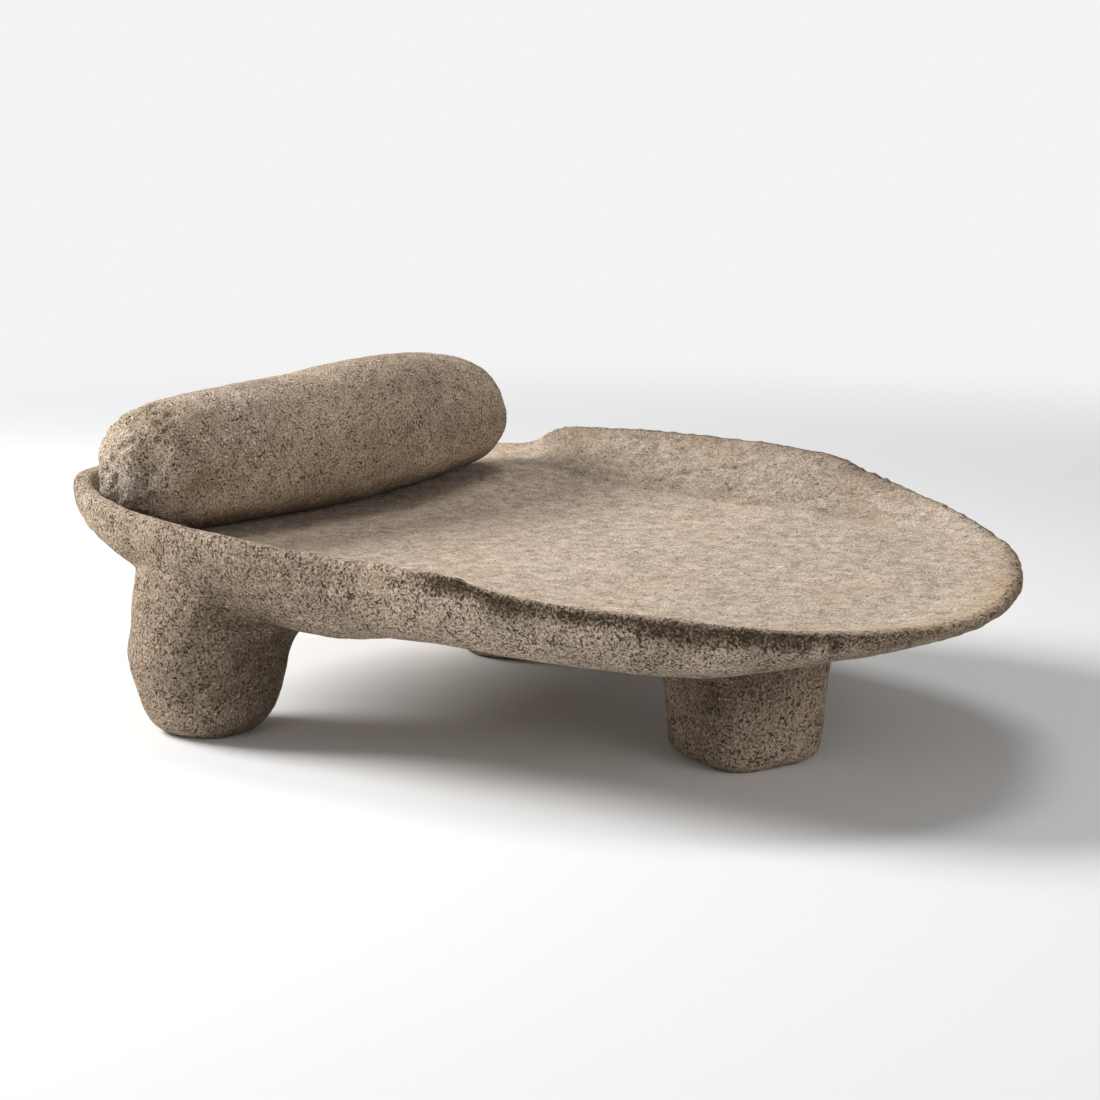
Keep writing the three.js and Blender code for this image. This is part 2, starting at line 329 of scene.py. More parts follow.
def makeLeg(name, leg, y):
    # A superellipse at each height: its half width and lean follow the leg's rings.
    up, wide, lean = (column[:, None] for column in openCurve(leg["rings"], legGrid["up"]).T)
    angle = np.linspace(0, 2 * np.pi, legGrid["around"], endpoint=False)
    turn = math.radians(leg["turn"])
    u, v = (
        leg["width"] / 2 * wide * np.sign(wave) * np.abs(wave) ** (2 / leg["squareness"])
        for wave in (np.cos(angle), np.sin(angle))
    )
    stand = 1 - leg["width"] * lean / math.hypot(leg["x"], y)
    x = leg["x"] * stand + u * math.cos(turn) - v * math.sin(turn)
    z = (faceAt(leg["x"], y) - leg["cover"]) * up + 0 * u
    rings = np.stack([x, y * stand + u * math.sin(turn) + v * math.cos(turn), z], axis=-1)[::-1]
    return shellMesh(name, rings[0].mean(axis=0), rings, (leg["x"], y, 0))


# The metate's carved skin

carving = {"voxel": 2.1, "turns": 1}  # the remesh's voxel, and the turns that relax the whole skin


def carve(pieces):
    # the slab and its legs are joined and remeshed as one skin
    bpy.ops.object.select_all(action="DESELECT")
    for piece in pieces:
        piece.select_set(True)
    bpy.context.view_layer.objects.active = pieces[0]
    bpy.ops.object.join()
    stone = pieces[0]
    remesh = stone.modifiers.new("oneSkin", "REMESH")
    remesh.mode = "VOXEL"
    remesh.voxel_size = carving["voxel"] * mm
    remesh.use_smooth_shade = True
    bpy.ops.object.modifier_apply(modifier=remesh.name)
    return stone


# Where legs are relaxed into the slab: a ring round each leg, within a belt of heights. A pair is where
# the relaxing is nothing and where it is full, the last one by how far a place looks out from the middle.
fillet = {
    "ring": 0.56, "ringReach": (30, 10), "beltTop": (80, 66), "beltFoot": (36, 50),
    "outwards": (-0.1, 0.35), "innerTurns": 100, "outerTurns": 9,
}


def filletLegs(mesh, points):
    # relaxes the skin where a leg meets the underside, less so on the side that looks away from the middle
    legs = ((rearLeg, rearLeg["nearY"]), (rearLeg, rearLeg["farY"]), (frontLeg, frontLeg["nearY"]))
    inner, outer = np.zeros(len(points)), np.zeros(len(points))
    for leg, y in legs:
        alongX, alongY = points[:, 0] - leg["x"], points[:, 1] - y
        away = np.hypot(alongX, alongY)
        near = smoothStep(*fillet["ringReach"], np.abs(away - fillet["ring"] * leg["width"]))
        outwards = (alongX * leg["x"] + alongY * y) / np.maximum(away * math.hypot(leg["x"], y), 1)
        inner = np.maximum(inner, near * smoothStep(*fillet["outwards"][::-1], outwards))
        outer = np.maximum(outer, near * smoothStep(*fillet["outwards"], outwards))
    height = points[:, 2]
    belt = smoothStep(*fillet["beltTop"], height) * smoothStep(*fillet["beltFoot"], height)
    points = relax(mesh, points, inner * belt, fillet["innerTurns"])
    return relax(mesh, points, outer * belt, fillet["outerTurns"])


# Where the stone is worn or broken. A pair is where a mask is 0 and where it is 1: along x or y, by
# height, by how far up the skin faces, or by the share of the way out to the outline. The band's waves
# are a noise's width and seed.
zones = {
    "upwards": (0.55, 0.93), "edgeShare": (0.93, 0.97),
    "wornShare": (0.995, 0.95), "wornHeight": (-30, -5),
    # the band under the near lip is a rough dark crust with painted shade under the overhang
    "bandTop": (-0.5, 1.5), "bandFoot": (10.5, 4.5), "bandWander": 2.6, "bandWaves": (7, 9),
    "bandEndX": (245, 205), "bandLeast": 0.3,
    "farY": (80, 120), "farLowX": (130, 70), "farHighX": (-150, -110), "farShare": (0, 0.05),
    "lowEndX": (190, 235), "lowEndTurn": 0.25, "lowEndShare": (0.86, 0.95),
    "farRimRough": 0.6, "lowEndRough": 0.35,
}


def findZones(points, normals):
    # Masks of the worn face, the edge, the dark band under the near lip (a rough crust with painted shade
    # under the overhang), the far rim and the low end. Under is how far a point is below the rim's top.
    x, y, z = points.T
    share, top, begin = edgeBeyond(x, y)
    under = top - z
    up = smoothStep(*zones["upwards"], normals[:, 2])
    edge = smoothStep(*zones["edgeShare"], share)
    worn = up * smoothStep(*zones["wornShare"], share) * smoothStep(*zones["wornHeight"], z - faceAt(x, y))
    wander = zones["bandWander"] * latticeNoise(points, *zones["bandWaves"])
    crustAndShade = smoothStep(*zones["bandTop"], under) * smoothStep(*zones["bandFoot"], under + wander)
    crustAndShade *= lipMask(x, y) * edge * np.maximum(smoothStep(*zones["bandEndX"], x), zones["bandLeast"])
    farRim = smoothStep(*zones["farY"], y) * smoothStep(*zones["farShare"], share - begin)
    farRim *= smoothStep(*zones["farLowX"], x) * smoothStep(*zones["farHighX"], x)
    lowEnd = smoothStep(*zones["lowEndX"], x + zones["lowEndTurn"] * y)
    lowEnd *= smoothStep(*zones["lowEndShare"], share)
    rough = np.clip(crustAndShade + zones["farRimRough"] * farRim * up + zones["lowEndRough"] * lowEnd, 0, 1)
    return {
        "share": share, "begin": begin, "under": under, "up": up, "edge": edge, "worn": worn,
        "side": 1 - worn, "crustAndShade": crustAndShade, "farRim": farRim, "lowEnd": lowEnd, "rough": rough,
    }


skin = {
    # unevenness as width, layers, seed, height on the worn face and how much more elsewhere
    "waves": [(70, 2, 11, 0.25, 0.6), (20, 3, 23, 0.22, 0.45), (6, 2, 37, 0.14, 0.22)],
    "pits": (9, 0.3, 51), "wornPits": 0.1, "sidePits": 0.5,  # pits as width, cover and seed, and depths
    "most": 0.6,  # the skin stands no further out than this
    # only narrow dents get painted shade, in full when they are this deep
    "shadedDentRadius": 4, "shadedDentDepth": 2,  # only dents narrower than this are dark, and fully so when so deep
}
# Broken places: waves as width, layers and seed, and pits as width, cover and seed
metateBreak = {"height": 0.9, "waves": (5, 2, 71), "loss": 0.45, "depth": 0.9, "pits": (6, 0.6, 83)}
# Small hollows, as place on the slab seen from above, radius and depth
dents = np.array([
    [121, -99, 3.2, 2.2], [72, -37, 1.7, 1.3], [160, -24, 1.6, 1.1], [122, -7, 1.5, 1.0],
    [54, 50, 1.5, 0.9], [215, 33, 3.0, 1.0], [221, -8, 3.2, 1.2], [205, 14, 2.4, 0.8],
    [62, 167, 6.0, 2.0], [-30, 137, 3.0, 1.2], [-60, 121, 2.6, 1.1], [4, 131, 3.4, 1.2],
    [30, 120, 2.6, 0.9], [-6, 150, 2.8, 1.3], [206, 85, 4.2, 2.6],
    [236, 4, 2.2, 1.0], [237, 20, 2.4, 1.0], [229, -2, 1.8, 0.8],
])


def roughenMetate(points, normals, at):
    # The skin is moved along its normals by the dents, the waves, the pits and the broken places. Then
    # the face swells under the mano, and the soles are levelled. It also gives the painted shade of the
    # small dents.
    x, y = points[:, 0], points[:, 1]
    dentShade, move = np.zeros(len(points)), np.zeros(len(points))
    for dentX, dentY, radius, depth in dents:
        bell = bellCurve(np.hypot(x - dentX, y - dentY), radius) * np.maximum(at["up"], at["edge"])
        dentShadeShare = min(1, depth / skin["shadedDentDepth"]) * (radius < skin["shadedDentRadius"])
        dentShade = np.maximum(dentShade, bell * dentShadeShare)
        move -= depth * bell
    for *wave, height, more in skin["waves"]:
        move += layeredNoise(points, *wave) * (height + more * at["side"])
    move -= pitField(points, *skin["pits"]) * (skin["wornPits"] + skin["sidePits"] * at["side"])
    move += at["rough"] * brokenSkin(points, metateBreak)
    carved = points + normals * np.minimum(move, skin["most"])[:, None]
    swell = smoothStep(*slab["swellX"], x) * smoothStep(*slab["swellY"], y)
    carved[:, 2] += slab["swell"] * swell * at["up"] * smoothStep(*slab["swellShare"], at["share"])
    carved[:, 2] = np.maximum(carved[:, 2], 0)
    return carved, dentShade


def patchAt(points, x, y, z, radius):
    # a soft round patch about a place
    return bellCurve(np.linalg.norm(points - (x, y, z), axis=1), radius)


def besideMano(x, y):
    # places measured from the middle of the resting mano: along it, and square to it towards the low end
    turn = math.radians(mano["turn"])
    x, y = x - mano["x"], y - mano["y"]
    return y * math.cos(turn) - x * math.sin(turn), x * math.cos(turn) + y * math.sin(turn)


# Stains and painted shade: strengths, pairs as in the zones, bell curves as a middle and a reach, and
# patches as x, y, z and radius
stainsAndShade = {
    "lowEndOchre": 0.8, "highEndOchre": 1.0, "highEndX": (-150, -215), "highEndTurn": 0.3,
    "nearOchre": 0.5, "nearX": (-60, -120), "nearY": (-165, -178),
    "legShade": 1.3, "nearLegShadePatch": (-70, -150, 42, 42), "frontLegShadePatch": (128, -47, 44, 24),
    "restShadow": 0.3, "restMiddle": 20, "restReach": 17, "restStart": (-110, -20), "restEnd": (150, 110),
    "foot": 0.9, "footMiddle": 0.02, "footReach": 0.04, "footX": (-20, -60), "footY": (-60, -120),
    "farRim": 0.5, "farRimTop": 0.3, "farTopShare": (0.9, 0.96),
    "ash": 0.33, "ashTop": (4, 12), "ashFoot": (34, 22),
}


def stainAndShadeMetate(points, at):
    # ochre at both ends and low on the near side, ash under the near lip, a darker far rim, and painted
    # shade on the legs, as a shadow beside the resting mano and at the foot of the near rim
    x, y, z = points.T
    ochre = stainsAndShade["lowEndOchre"] * at["lowEnd"]
    ochre += stainsAndShade["highEndOchre"] * smoothStep(*stainsAndShade["highEndX"], x - stainsAndShade["highEndTurn"] * y)
    ochre += stainsAndShade["nearOchre"] * smoothStep(*stainsAndShade["nearX"], x) * smoothStep(*stainsAndShade["nearY"], y)
    ash = smoothStep(*stainsAndShade["ashTop"], at["under"]) * smoothStep(*stainsAndShade["ashFoot"], at["under"])
    ash *= stainsAndShade["ash"] * lipMask(x, y) * at["side"]
    # painted shade on the middle of the near leg and of the front leg
    legs = stainsAndShade["legShade"] * patchAt(points, *stainsAndShade["nearLegShadePatch"]) + patchAt(points, *stainsAndShade["frontLegShadePatch"])
    shade = np.clip(legs, 0, 1) * at["side"]
    rimTop = smoothStep(*stainsAndShade["farTopShare"], at["share"])
    shade += at["farRim"] * (stainsAndShade["farRim"] + stainsAndShade["farRimTop"] * rimTop)
    # a faint painted shadow along the low-end side of the resting mano
    along, across = besideMano(x, y)
    restShadow = stainsAndShade["restShadow"] * bellCurve(across - stainsAndShade["restMiddle"], stainsAndShade["restReach"])
    restShadow *= smoothStep(*stainsAndShade["restStart"], along) * smoothStep(*stainsAndShade["restEnd"], along)
    # painted shade along the foot of the near rim at the high end
    foot = stainsAndShade["foot"] * bellCurve(at["share"] - at["begin"] - stainsAndShade["footMiddle"], stainsAndShade["footReach"])
    foot *= smoothStep(*stainsAndShade["footX"], x) * smoothStep(*stainsAndShade["footY"], y)
    return {"ochre": ochre, "ash": ash, "shade": np.maximum(shade, at["up"] * np.maximum(restShadow, foot))}


def makeMetate():
    # the slab and legs become one skin: relaxed at the legs, roughened, stained and given painted shade
    legs = [makeLeg("rearNear", rearLeg, rearLeg["nearY"]), makeLeg("rearFar", rearLeg, rearLeg["farY"])]
    stone = carve([makeSlab(), *legs, makeLeg("front", frontLeg, frontLeg["nearY"])])
    stone.name = stone.data.name = "metateStone"
    mesh = stone.data
    points = relax(mesh, meshPoints(mesh), np.ones(len(mesh.vertices)), carving["turns"])
    points = filletLegs(mesh, points)
    setPoints(mesh, points)
    normals = meshNormals(mesh)
    at = findZones(points, normals)
    carved, dentShade = roughenMetate(points, normals, at)
    setPoints(mesh, carved)
    # the band mask carries the lip's dark crust and painted shade, and the painted shade of small dents
    setMasks(mesh, {
        "worn": at["worn"], "rough": at["rough"], "crustAndShade": np.maximum(at["crustAndShade"], dentShade),
        **stainAndShadeMetate(points, at),
    })
    return stone


# The mano

mano = {
    "length": 251, "width": 71.2, "x": -146.3, "y": -28.6, "turn": -5,
    "settle": 0.7,  # it sinks by what the roughness takes off the two stones
    "around": 300, "along": 300, "skin": 0.45,
    # unevenness as height, width, layers and seed
    "waves": [(0.9, 60, 2, 13), (0.5, 18, 3, 29), (0.26, 5, 2, 41)],
    "pits": (7, 0.3, 57), "pitDepth": 0.45,
    "underside": (0.55, 0.9), "worn": 0.8,  # how far down the skin faces there, and the relief worn off
    "rings": np.array([
        [0.0, 0.0, 0.0], [0.006, 0.36, 0.0], [0.02, 0.58, 0.0], [0.045, 0.75, 0.0], [0.08, 0.86, 0.0],
        [0.13, 0.92, 0.0], [0.2, 0.95, 0.0], [0.3, 0.97, 0.004], [0.42, 1.0, 0.012], [0.5, 1.02, 0.022],
        [0.57, 1.03, 0.034], [0.65, 1.026, 0.046], [0.73, 1.005, 0.057], [0.8, 0.968, 0.064],
        [0.87, 0.897, 0.061], [0.92, 0.815, 0.046], [0.955, 0.712, 0.033], [0.98, 0.557, 0.019],
        [0.994, 0.329, 0.007], [1.0, 0.0, 0.005],
    ]),
}
# The broken near end: how far in its edge lies, how that wanders and leans, and how soft it is
manoEnd = {
    "edge": 33, "wander": 9, "wanderWaves": (40, 2, 5), "lean": 0.25, "softness": 8,
    "flatSoftness": 0.8,  # how softly the flat breaks end
    "farEnd": (22, 6), "farRough": 0.6,  # the far end is rough too, this near to its tip
    "most": 0.6, "brokenMost": 0.8,  # how far the skin may stand out, and how much further where broken
}
# Its broken skin, in the same terms as the metate's
manoBreak = {"height": 2.6, "waves": (11, 4, 61), "loss": 0.1, "depth": 1.6, "pits": (6, 0.45, 67)}
# Flat breaks of the near end: the way each one faces, and the stone lost there
manoFlats = np.array([[0.62, -0.76, 0.2, 3.4], [0.25, -0.8, -0.52, 0.8]])
# Knobs and hollows of the broken end in the mano's resting place: x, y, z, radius and height
manoBumps = np.array([
    [-127.5, -131.5, 121, 6, 4.6], [-135.5, -148, 125, 5, -3.8], [-125, -122.5, 115, 9, -4.2],
    [-149, -153, 135.5, 3, -1.8], [-144.5, -145.5, 140, 5, -1.7], [-139, -147.5, 133, 4.5, -2.4],
    [-132.5, -141, 119, 6, 1.2], [-130.5, -135.5, 132, 7, 1.0],
])
# Its stains: strengths, and pairs along the mano's own axes or by the distance from its near end
manoStains = {
    "brokenAsh": 0.15, "lowAsh": 1.2, "lowZ": (14, -8), "lowX": (28, 12),
    "backAsh": 0.4, "backStart": (30, 55), "backEnd": (110, 70), "backZ": (18, 30),
    "ochre": 0.6, "ochreZ": (0, 30), "rough": 0.3,
    "flecks": (-123, -108, 137, 24),  # a patch with more light crystals
}


def manoPose():
    # the matrix that turns the mano and tilts it along the working face, and the place of its middle
    turn = math.radians(mano["turn"])
    far = (-math.sin(turn) * mano["length"], math.cos(turn) * mano["length"])
    rise = slab["faceCant"] * far[1] / packedSpan[1] - slab["faceFall"] * far[0] / packedSpan[0]
    tilt = Matrix.Rotation(turn, 3, "Z") @ Matrix.Rotation(math.asin(rise / mano["length"]), 3, "X")
    height = faceAt(mano["x"], mano["y"]) + mano["width"] / 2 - mano["settle"]
    return np.array(tilt).T, np.array((mano["x"], mano["y"], height))


def flatten(points):
    # what lies over the plane of a flat break is pressed down to it, softly along its edge
    for *facing, lost in manoFlats:
        facing = np.array(facing) / np.linalg.norm(facing)
        over = points @ facing
        over += lost - over.max()
        points = points - facing * ((over + np.hypot(over, manoEnd["flatSoftness"])) / 2)[:, None]
    return points


def makeMano():
    # Round rings strung along the mano's axis, by place, half width and raise. The skin is roughened
    # along its normals, most of all at the broken near end, and the stone is laid along the face. Its
    # underside gets painted shade.
    place, wide, lift = (column[:, None] for column in openCurve(mano["rings"], mano["along"]).T)
    angle = np.linspace(0, 2 * np.pi, mano["around"], endpoint=False)
    reach = mano["width"] / 2 * wide
    x = reach * np.cos(angle)
    z = mano["width"] * lift + reach * np.sin(angle)
    y = mano["length"] * (place - 0.5) + 0 * x
    near, far = (
        (0, mano["length"] * (ring[0] - 0.5), mano["width"] * ring[2]) for ring in mano["rings"][[0, -1]]
    )
    piece = shellMesh("manoStone", near, np.stack([x, y, z], axis=-1)[1:-1], far)
    mesh = piece.data
    normals = meshNormals(mesh)
    points = flatten(meshPoints(mesh))
    tilt, middle = manoPose()
    placed = points @ tilt + middle

    fromEnd = points[:, 1] + mano["length"] / 2
    edge = manoEnd["edge"] + manoEnd["wander"] * layeredNoise(points, *manoEnd["wanderWaves"])
    edge -= manoEnd["lean"] * points[:, 2]
    broken = smoothStep(edge + manoEnd["softness"], edge - manoEnd["softness"], fromEnd)
    farEnd = smoothStep(*manoEnd["farEnd"], mano["length"] - fromEnd)
    ends = np.maximum(broken, manoEnd["farRough"] * farEnd)
    underside = smoothStep(*mano["underside"], -normals[:, 2])
    move = sum(height * layeredNoise(points, *wave) for height, *wave in mano["waves"])
    move -= mano["pitDepth"] * pitField(points, *mano["pits"])
    move += ends * brokenSkin(points, manoBreak)
    move = np.minimum(move, manoEnd["most"] + manoEnd["brokenMost"] * broken)
    for bumpX, bumpY, bumpZ, radius, height in manoBumps:
        move += height * patchAt(placed, bumpX, bumpY, bumpZ, radius)
    move *= 1 - mano["worn"] * underside
    points = points + normals * (move - mano["skin"])[:, None]

    low = smoothStep(*manoStains["lowZ"], points[:, 2]) * smoothStep(*manoStains["lowX"], points[:, 0])
    ash = broken * (manoStains["brokenAsh"] + manoStains["lowAsh"] * low)
    back = smoothStep(*manoStains["backStart"], fromEnd) * smoothStep(*manoStains["backEnd"], fromEnd)
    ash += manoStains["backAsh"] * back * smoothStep(*manoStains["backZ"], points[:, 2])
    # the shade mask is painted shade on the skin that faces down
    setMasks(mesh, {
        "worn": 0 * broken, "rough": manoStains["rough"] * ends, "crustAndShade": 0 * broken, "ash": ash,
        "ochre": manoStains["ochre"] * smoothStep(*manoStains["ochreZ"], points[:, 2]) * broken,
        "shade": underside, "flecked": patchAt(placed, *manoStains["flecks"]),
    })
    setPoints(mesh, points @ tilt + middle)
    mesh.shade_smooth()
    return piece


# Materials

def addNode(tree, kind, *values, **settings):
    # a node whose inputs, in order, are set to numbers or joined to other nodes' outputs; None skips one
    node = tree.nodes.new(kind)
    for name, value in settings.items():
        setattr(node, name, value)
    for socket, value in zip(node.inputs, values):
        if isinstance(value, bpy.types.NodeSocket):
            tree.links.new(value, socket)
        elif value is not None:
            socket.default_value = value
    return node


def sums(tree, operation, *values):
    return addNode(tree, "ShaderNodeMath", *values, operation=operation).outputs[0]


def plus(tree, first, second):
    return sums(tree, "ADD", first, second)


def times(tree, first, second):
    return sums(tree, "MULTIPLY", first, second)


def ramp(tree, value, low, high, toLow=0.0, toHigh=1.0):
    # an S curve from toLow at low to toHigh at high
    curve = {"interpolation_type": "SMOOTHSTEP"}
    return addNode(tree, "ShaderNodeMapRange", value, low, high, toLow, toHigh, **curve).outputs[0]


def noise(tree, vector, scale, detail, roughness):
    node = addNode(tree, "ShaderNodeTexNoise")
    for name, value in (("Vector", vector), ("Scale", scale), ("Detail", detail), ("Roughness", roughness)):
        if isinstance(value, bpy.types.NodeSocket):
            tree.links.new(value, node.inputs[name])
        else:
            node.inputs[name].default_value = value
    return node.outputs["Fac"]


def mixColour(tree, share, first, second):
    node = tree.nodes.new("ShaderNodeMix")
    node.data_type = "RGBA"
    for name, value in (("Factor_Float", share), ("A_Color", first), ("B_Color", second)):
        socket = next(s for s in node.inputs if s.identifier == name)
        if isinstance(value, bpy.types.NodeSocket):
            tree.links.new(value, socket)
        else:
            socket.default_value = (*value, 1) if isinstance(value, tuple) else value
    return next(s for s in node.outputs if s.identifier == "Result_Color")


def newGroup(name, inputs, outputs):
    tree = bpy.data.node_groups.new(name, "ShaderNodeTree")
    for socket, kind, value in inputs:
        made = tree.interface.new_socket(name=socket, in_out="INPUT", socket_type=kind)
        if value is not None:
            made.default_value = value
    for socket in outputs:
        tree.interface.new_socket(name=socket, in_out="OUTPUT", socket_type="NodeSocketFloat")
    return tree, tree.nodes.new("NodeGroupInput"), tree.nodes.new("NodeGroupOutput")


# Pores, grain and light crystals: a noise is its detail and roughness, and sizes are in metres
vesicleLook = {
    "poreSize": 0.0011, "cover": 0.5, "grainSize": 0.0006,
    "small": (2.0, 0.6), "large": (2.0, 0.5), "largeScale": 0.22, "largeShare": 0.3,
    "edge": 0.64, "edgeByCover": 0.22, "edgeWidth": 0.15,
    "grain": (3.0, 0.65), "crystalScale": 1.2, "crystals": (0.97, 0.982), "grainHeight": 0.9,
}


def vesicleGroup():
    # Pores are where a small noise, swayed by a large one, passes an edge that the cover lowers. Light
    # crystals are the few cells of a cell pattern whose random number is high. The height is the grain
    # less the pores.
    look = vesicleLook
    tree, given, result = newGroup("vesicles", (
        ("Vector", "NodeSocketVector", None), ("Pore Size", "NodeSocketFloat", look["poreSize"]),
        ("Cover", "NodeSocketFloat", look["cover"]), ("Grain Size", "NodeSocketFloat", look["grainSize"]),
    ), ("Pores", "Grain", "Flecks", "Height"))
    vector, poreSize, cover, grainSize = (given.outputs[i] for i in range(4))
    perPore = sums(tree, "DIVIDE", 1.0, poreSize)
    small = noise(tree, vector, perPore, *look["small"])
    large = noise(tree, vector, times(tree, perPore, look["largeScale"]), *look["large"])
    edge = sums(tree, "SUBTRACT", look["edge"], times(tree, cover, look["edgeByCover"]))
    raised = plus(tree, small, times(tree, sums(tree, "SUBTRACT", large, 0.5), look["largeShare"]))
    pores = ramp(tree, raised, edge, plus(tree, edge, look["edgeWidth"]))
    perGrain = sums(tree, "DIVIDE", 1.0, grainSize)
    grain = noise(tree, vector, perGrain, *look["grain"])
    cells = addNode(tree, "ShaderNodeTexVoronoi", vector, None, times(tree, perGrain, look["crystalScale"]))
    chance = addNode(tree, "ShaderNodeSeparateColor", cells.outputs["Color"]).outputs[0]
    flecks = ramp(tree, chance, *look["crystals"])
    height = sums(tree, "SUBTRACT", times(tree, grain, look["grainHeight"]), pores)
    for socket, value in zip(result.inputs, (pores, grain, flecks, height)):
        tree.links.new(value, socket)
    return tree


# Broad stains as how far the pattern is shifted and the pair that its noise is stretched over
patchLook = {
    "size": 0.05, "noise": (3.0, 0.6),
    "stainsAndShade": ((0.0, 0.5, 0.68), (3.1, 0.52, 0.7), (7.7, 0.35, 0.65)),
    "mottleScale": 7.0, "mottleNoise": (5.0, 0.78), "mottle": (0.3, 0.7),
}


def patchGroup():
    # broad soft stains, as three masks that don't follow each other, and a finer mottle
    tree, given, result = newGroup("patches", (
        ("Vector", "NodeSocketVector", None), ("Size", "NodeSocketFloat", patchLook["size"]),
    ), ("Ochre", "Ash", "Shade", "Mottle"))
    vector, size = given.outputs[0], given.outputs[1]
    perPatch = sums(tree, "DIVIDE", 1.0, size)
    for socket, (shift, low, high) in zip(result.inputs, patchLook["stainsAndShade"]):
        moved = addNode(tree, "ShaderNodeVectorMath", vector, (shift, shift, shift), operation="ADD")
        stain = noise(tree, moved.outputs[0], perPatch, *patchLook["noise"])
        tree.links.new(ramp(tree, stain, low, high), socket)
    finer = times(tree, perPatch, patchLook["mottleScale"])
    mottle = noise(tree, vector, finer, *patchLook["mottleNoise"])
    tree.links.new(ramp(tree, mottle, *patchLook["mottle"]), result.inputs[3])
    return tree


# Colours, and sizes of the pores and grain in millimetres
basalt = {
    "light": (0.82, 0.665, 0.515), "body": (0.265, 0.188, 0.127), "pore": (0.085, 0.05, 0.028),
    "wornLight": (0.865, 0.72, 0.585), "wornDark": (0.24, 0.18, 0.13), "fleck": (0.86, 0.76, 0.64),
    "ochre": (0.56, 0.40, 0.25), "ash": (0.62, 0.57, 0.50), "ashDark": (0.24, 0.215, 0.185),
    # shade: the colour of darker patches, of painted shade and of the lip band
    "shade": (0.10, 0.07, 0.047),
    "poreSize": 1.3, "grainSize": 1.2, "cover": 0.42, "wornCover": 0.25, "roughness": 0.92,
}
darkBasalt = {
    "light": (0.99, 0.80, 0.62), "body": (0.44, 0.33, 0.23), "pore": (0.09, 0.056, 0.034),
    "wornLight": (0.44, 0.36, 0.27), "wornDark": (0.28, 0.215, 0.155), "fleck": (1.0, 0.90, 0.74),
    "ochre": (0.48, 0.35, 0.21), "ash": (0.60, 0.555, 0.49), "ashDark": (0.14, 0.128, 0.112),
    # shade: the colour of darker patches and of the painted shade on the underside
    "shade": (0.13, 0.09, 0.06),
    "poreSize": 1.1, "grainSize": 1.05, "cover": 0.34, "wornCover": 0.34, "roughness": 0.9,
}
# How strongly each coat of colour covers what is under it. The pairs of pores, roughness and bump are
# for unworn stone and for worn, and the grain's pair is where its noise is all body and all light.
coats = {
    "brokenCover": 0.18, "grain": (0.34, 0.64), "wornGrain": 0.45, "wornMottle": 0.55, "worn": 0.9,
    "ochre": 0.3, "ochreMask": 0.45, "ash": 0.22, "ashMask": 0.62,
    "shade": 0.3, "blotch": 0.17, "shelter": 0.75, "shadeMask": 0.55,
    # the band is the lip's dark crust together with painted shade
    "bandBody": 0.92, "bandGrain": 0.5,  # the dark band covers the body more than the light grains
    "pores": (0.95, 0.7), "flecks": 0.35,
    "roughness": (0.06, -0.08), "bump": (1.0, 0.6), "bumpDepth": 1.8, "specular": 0.08,
}


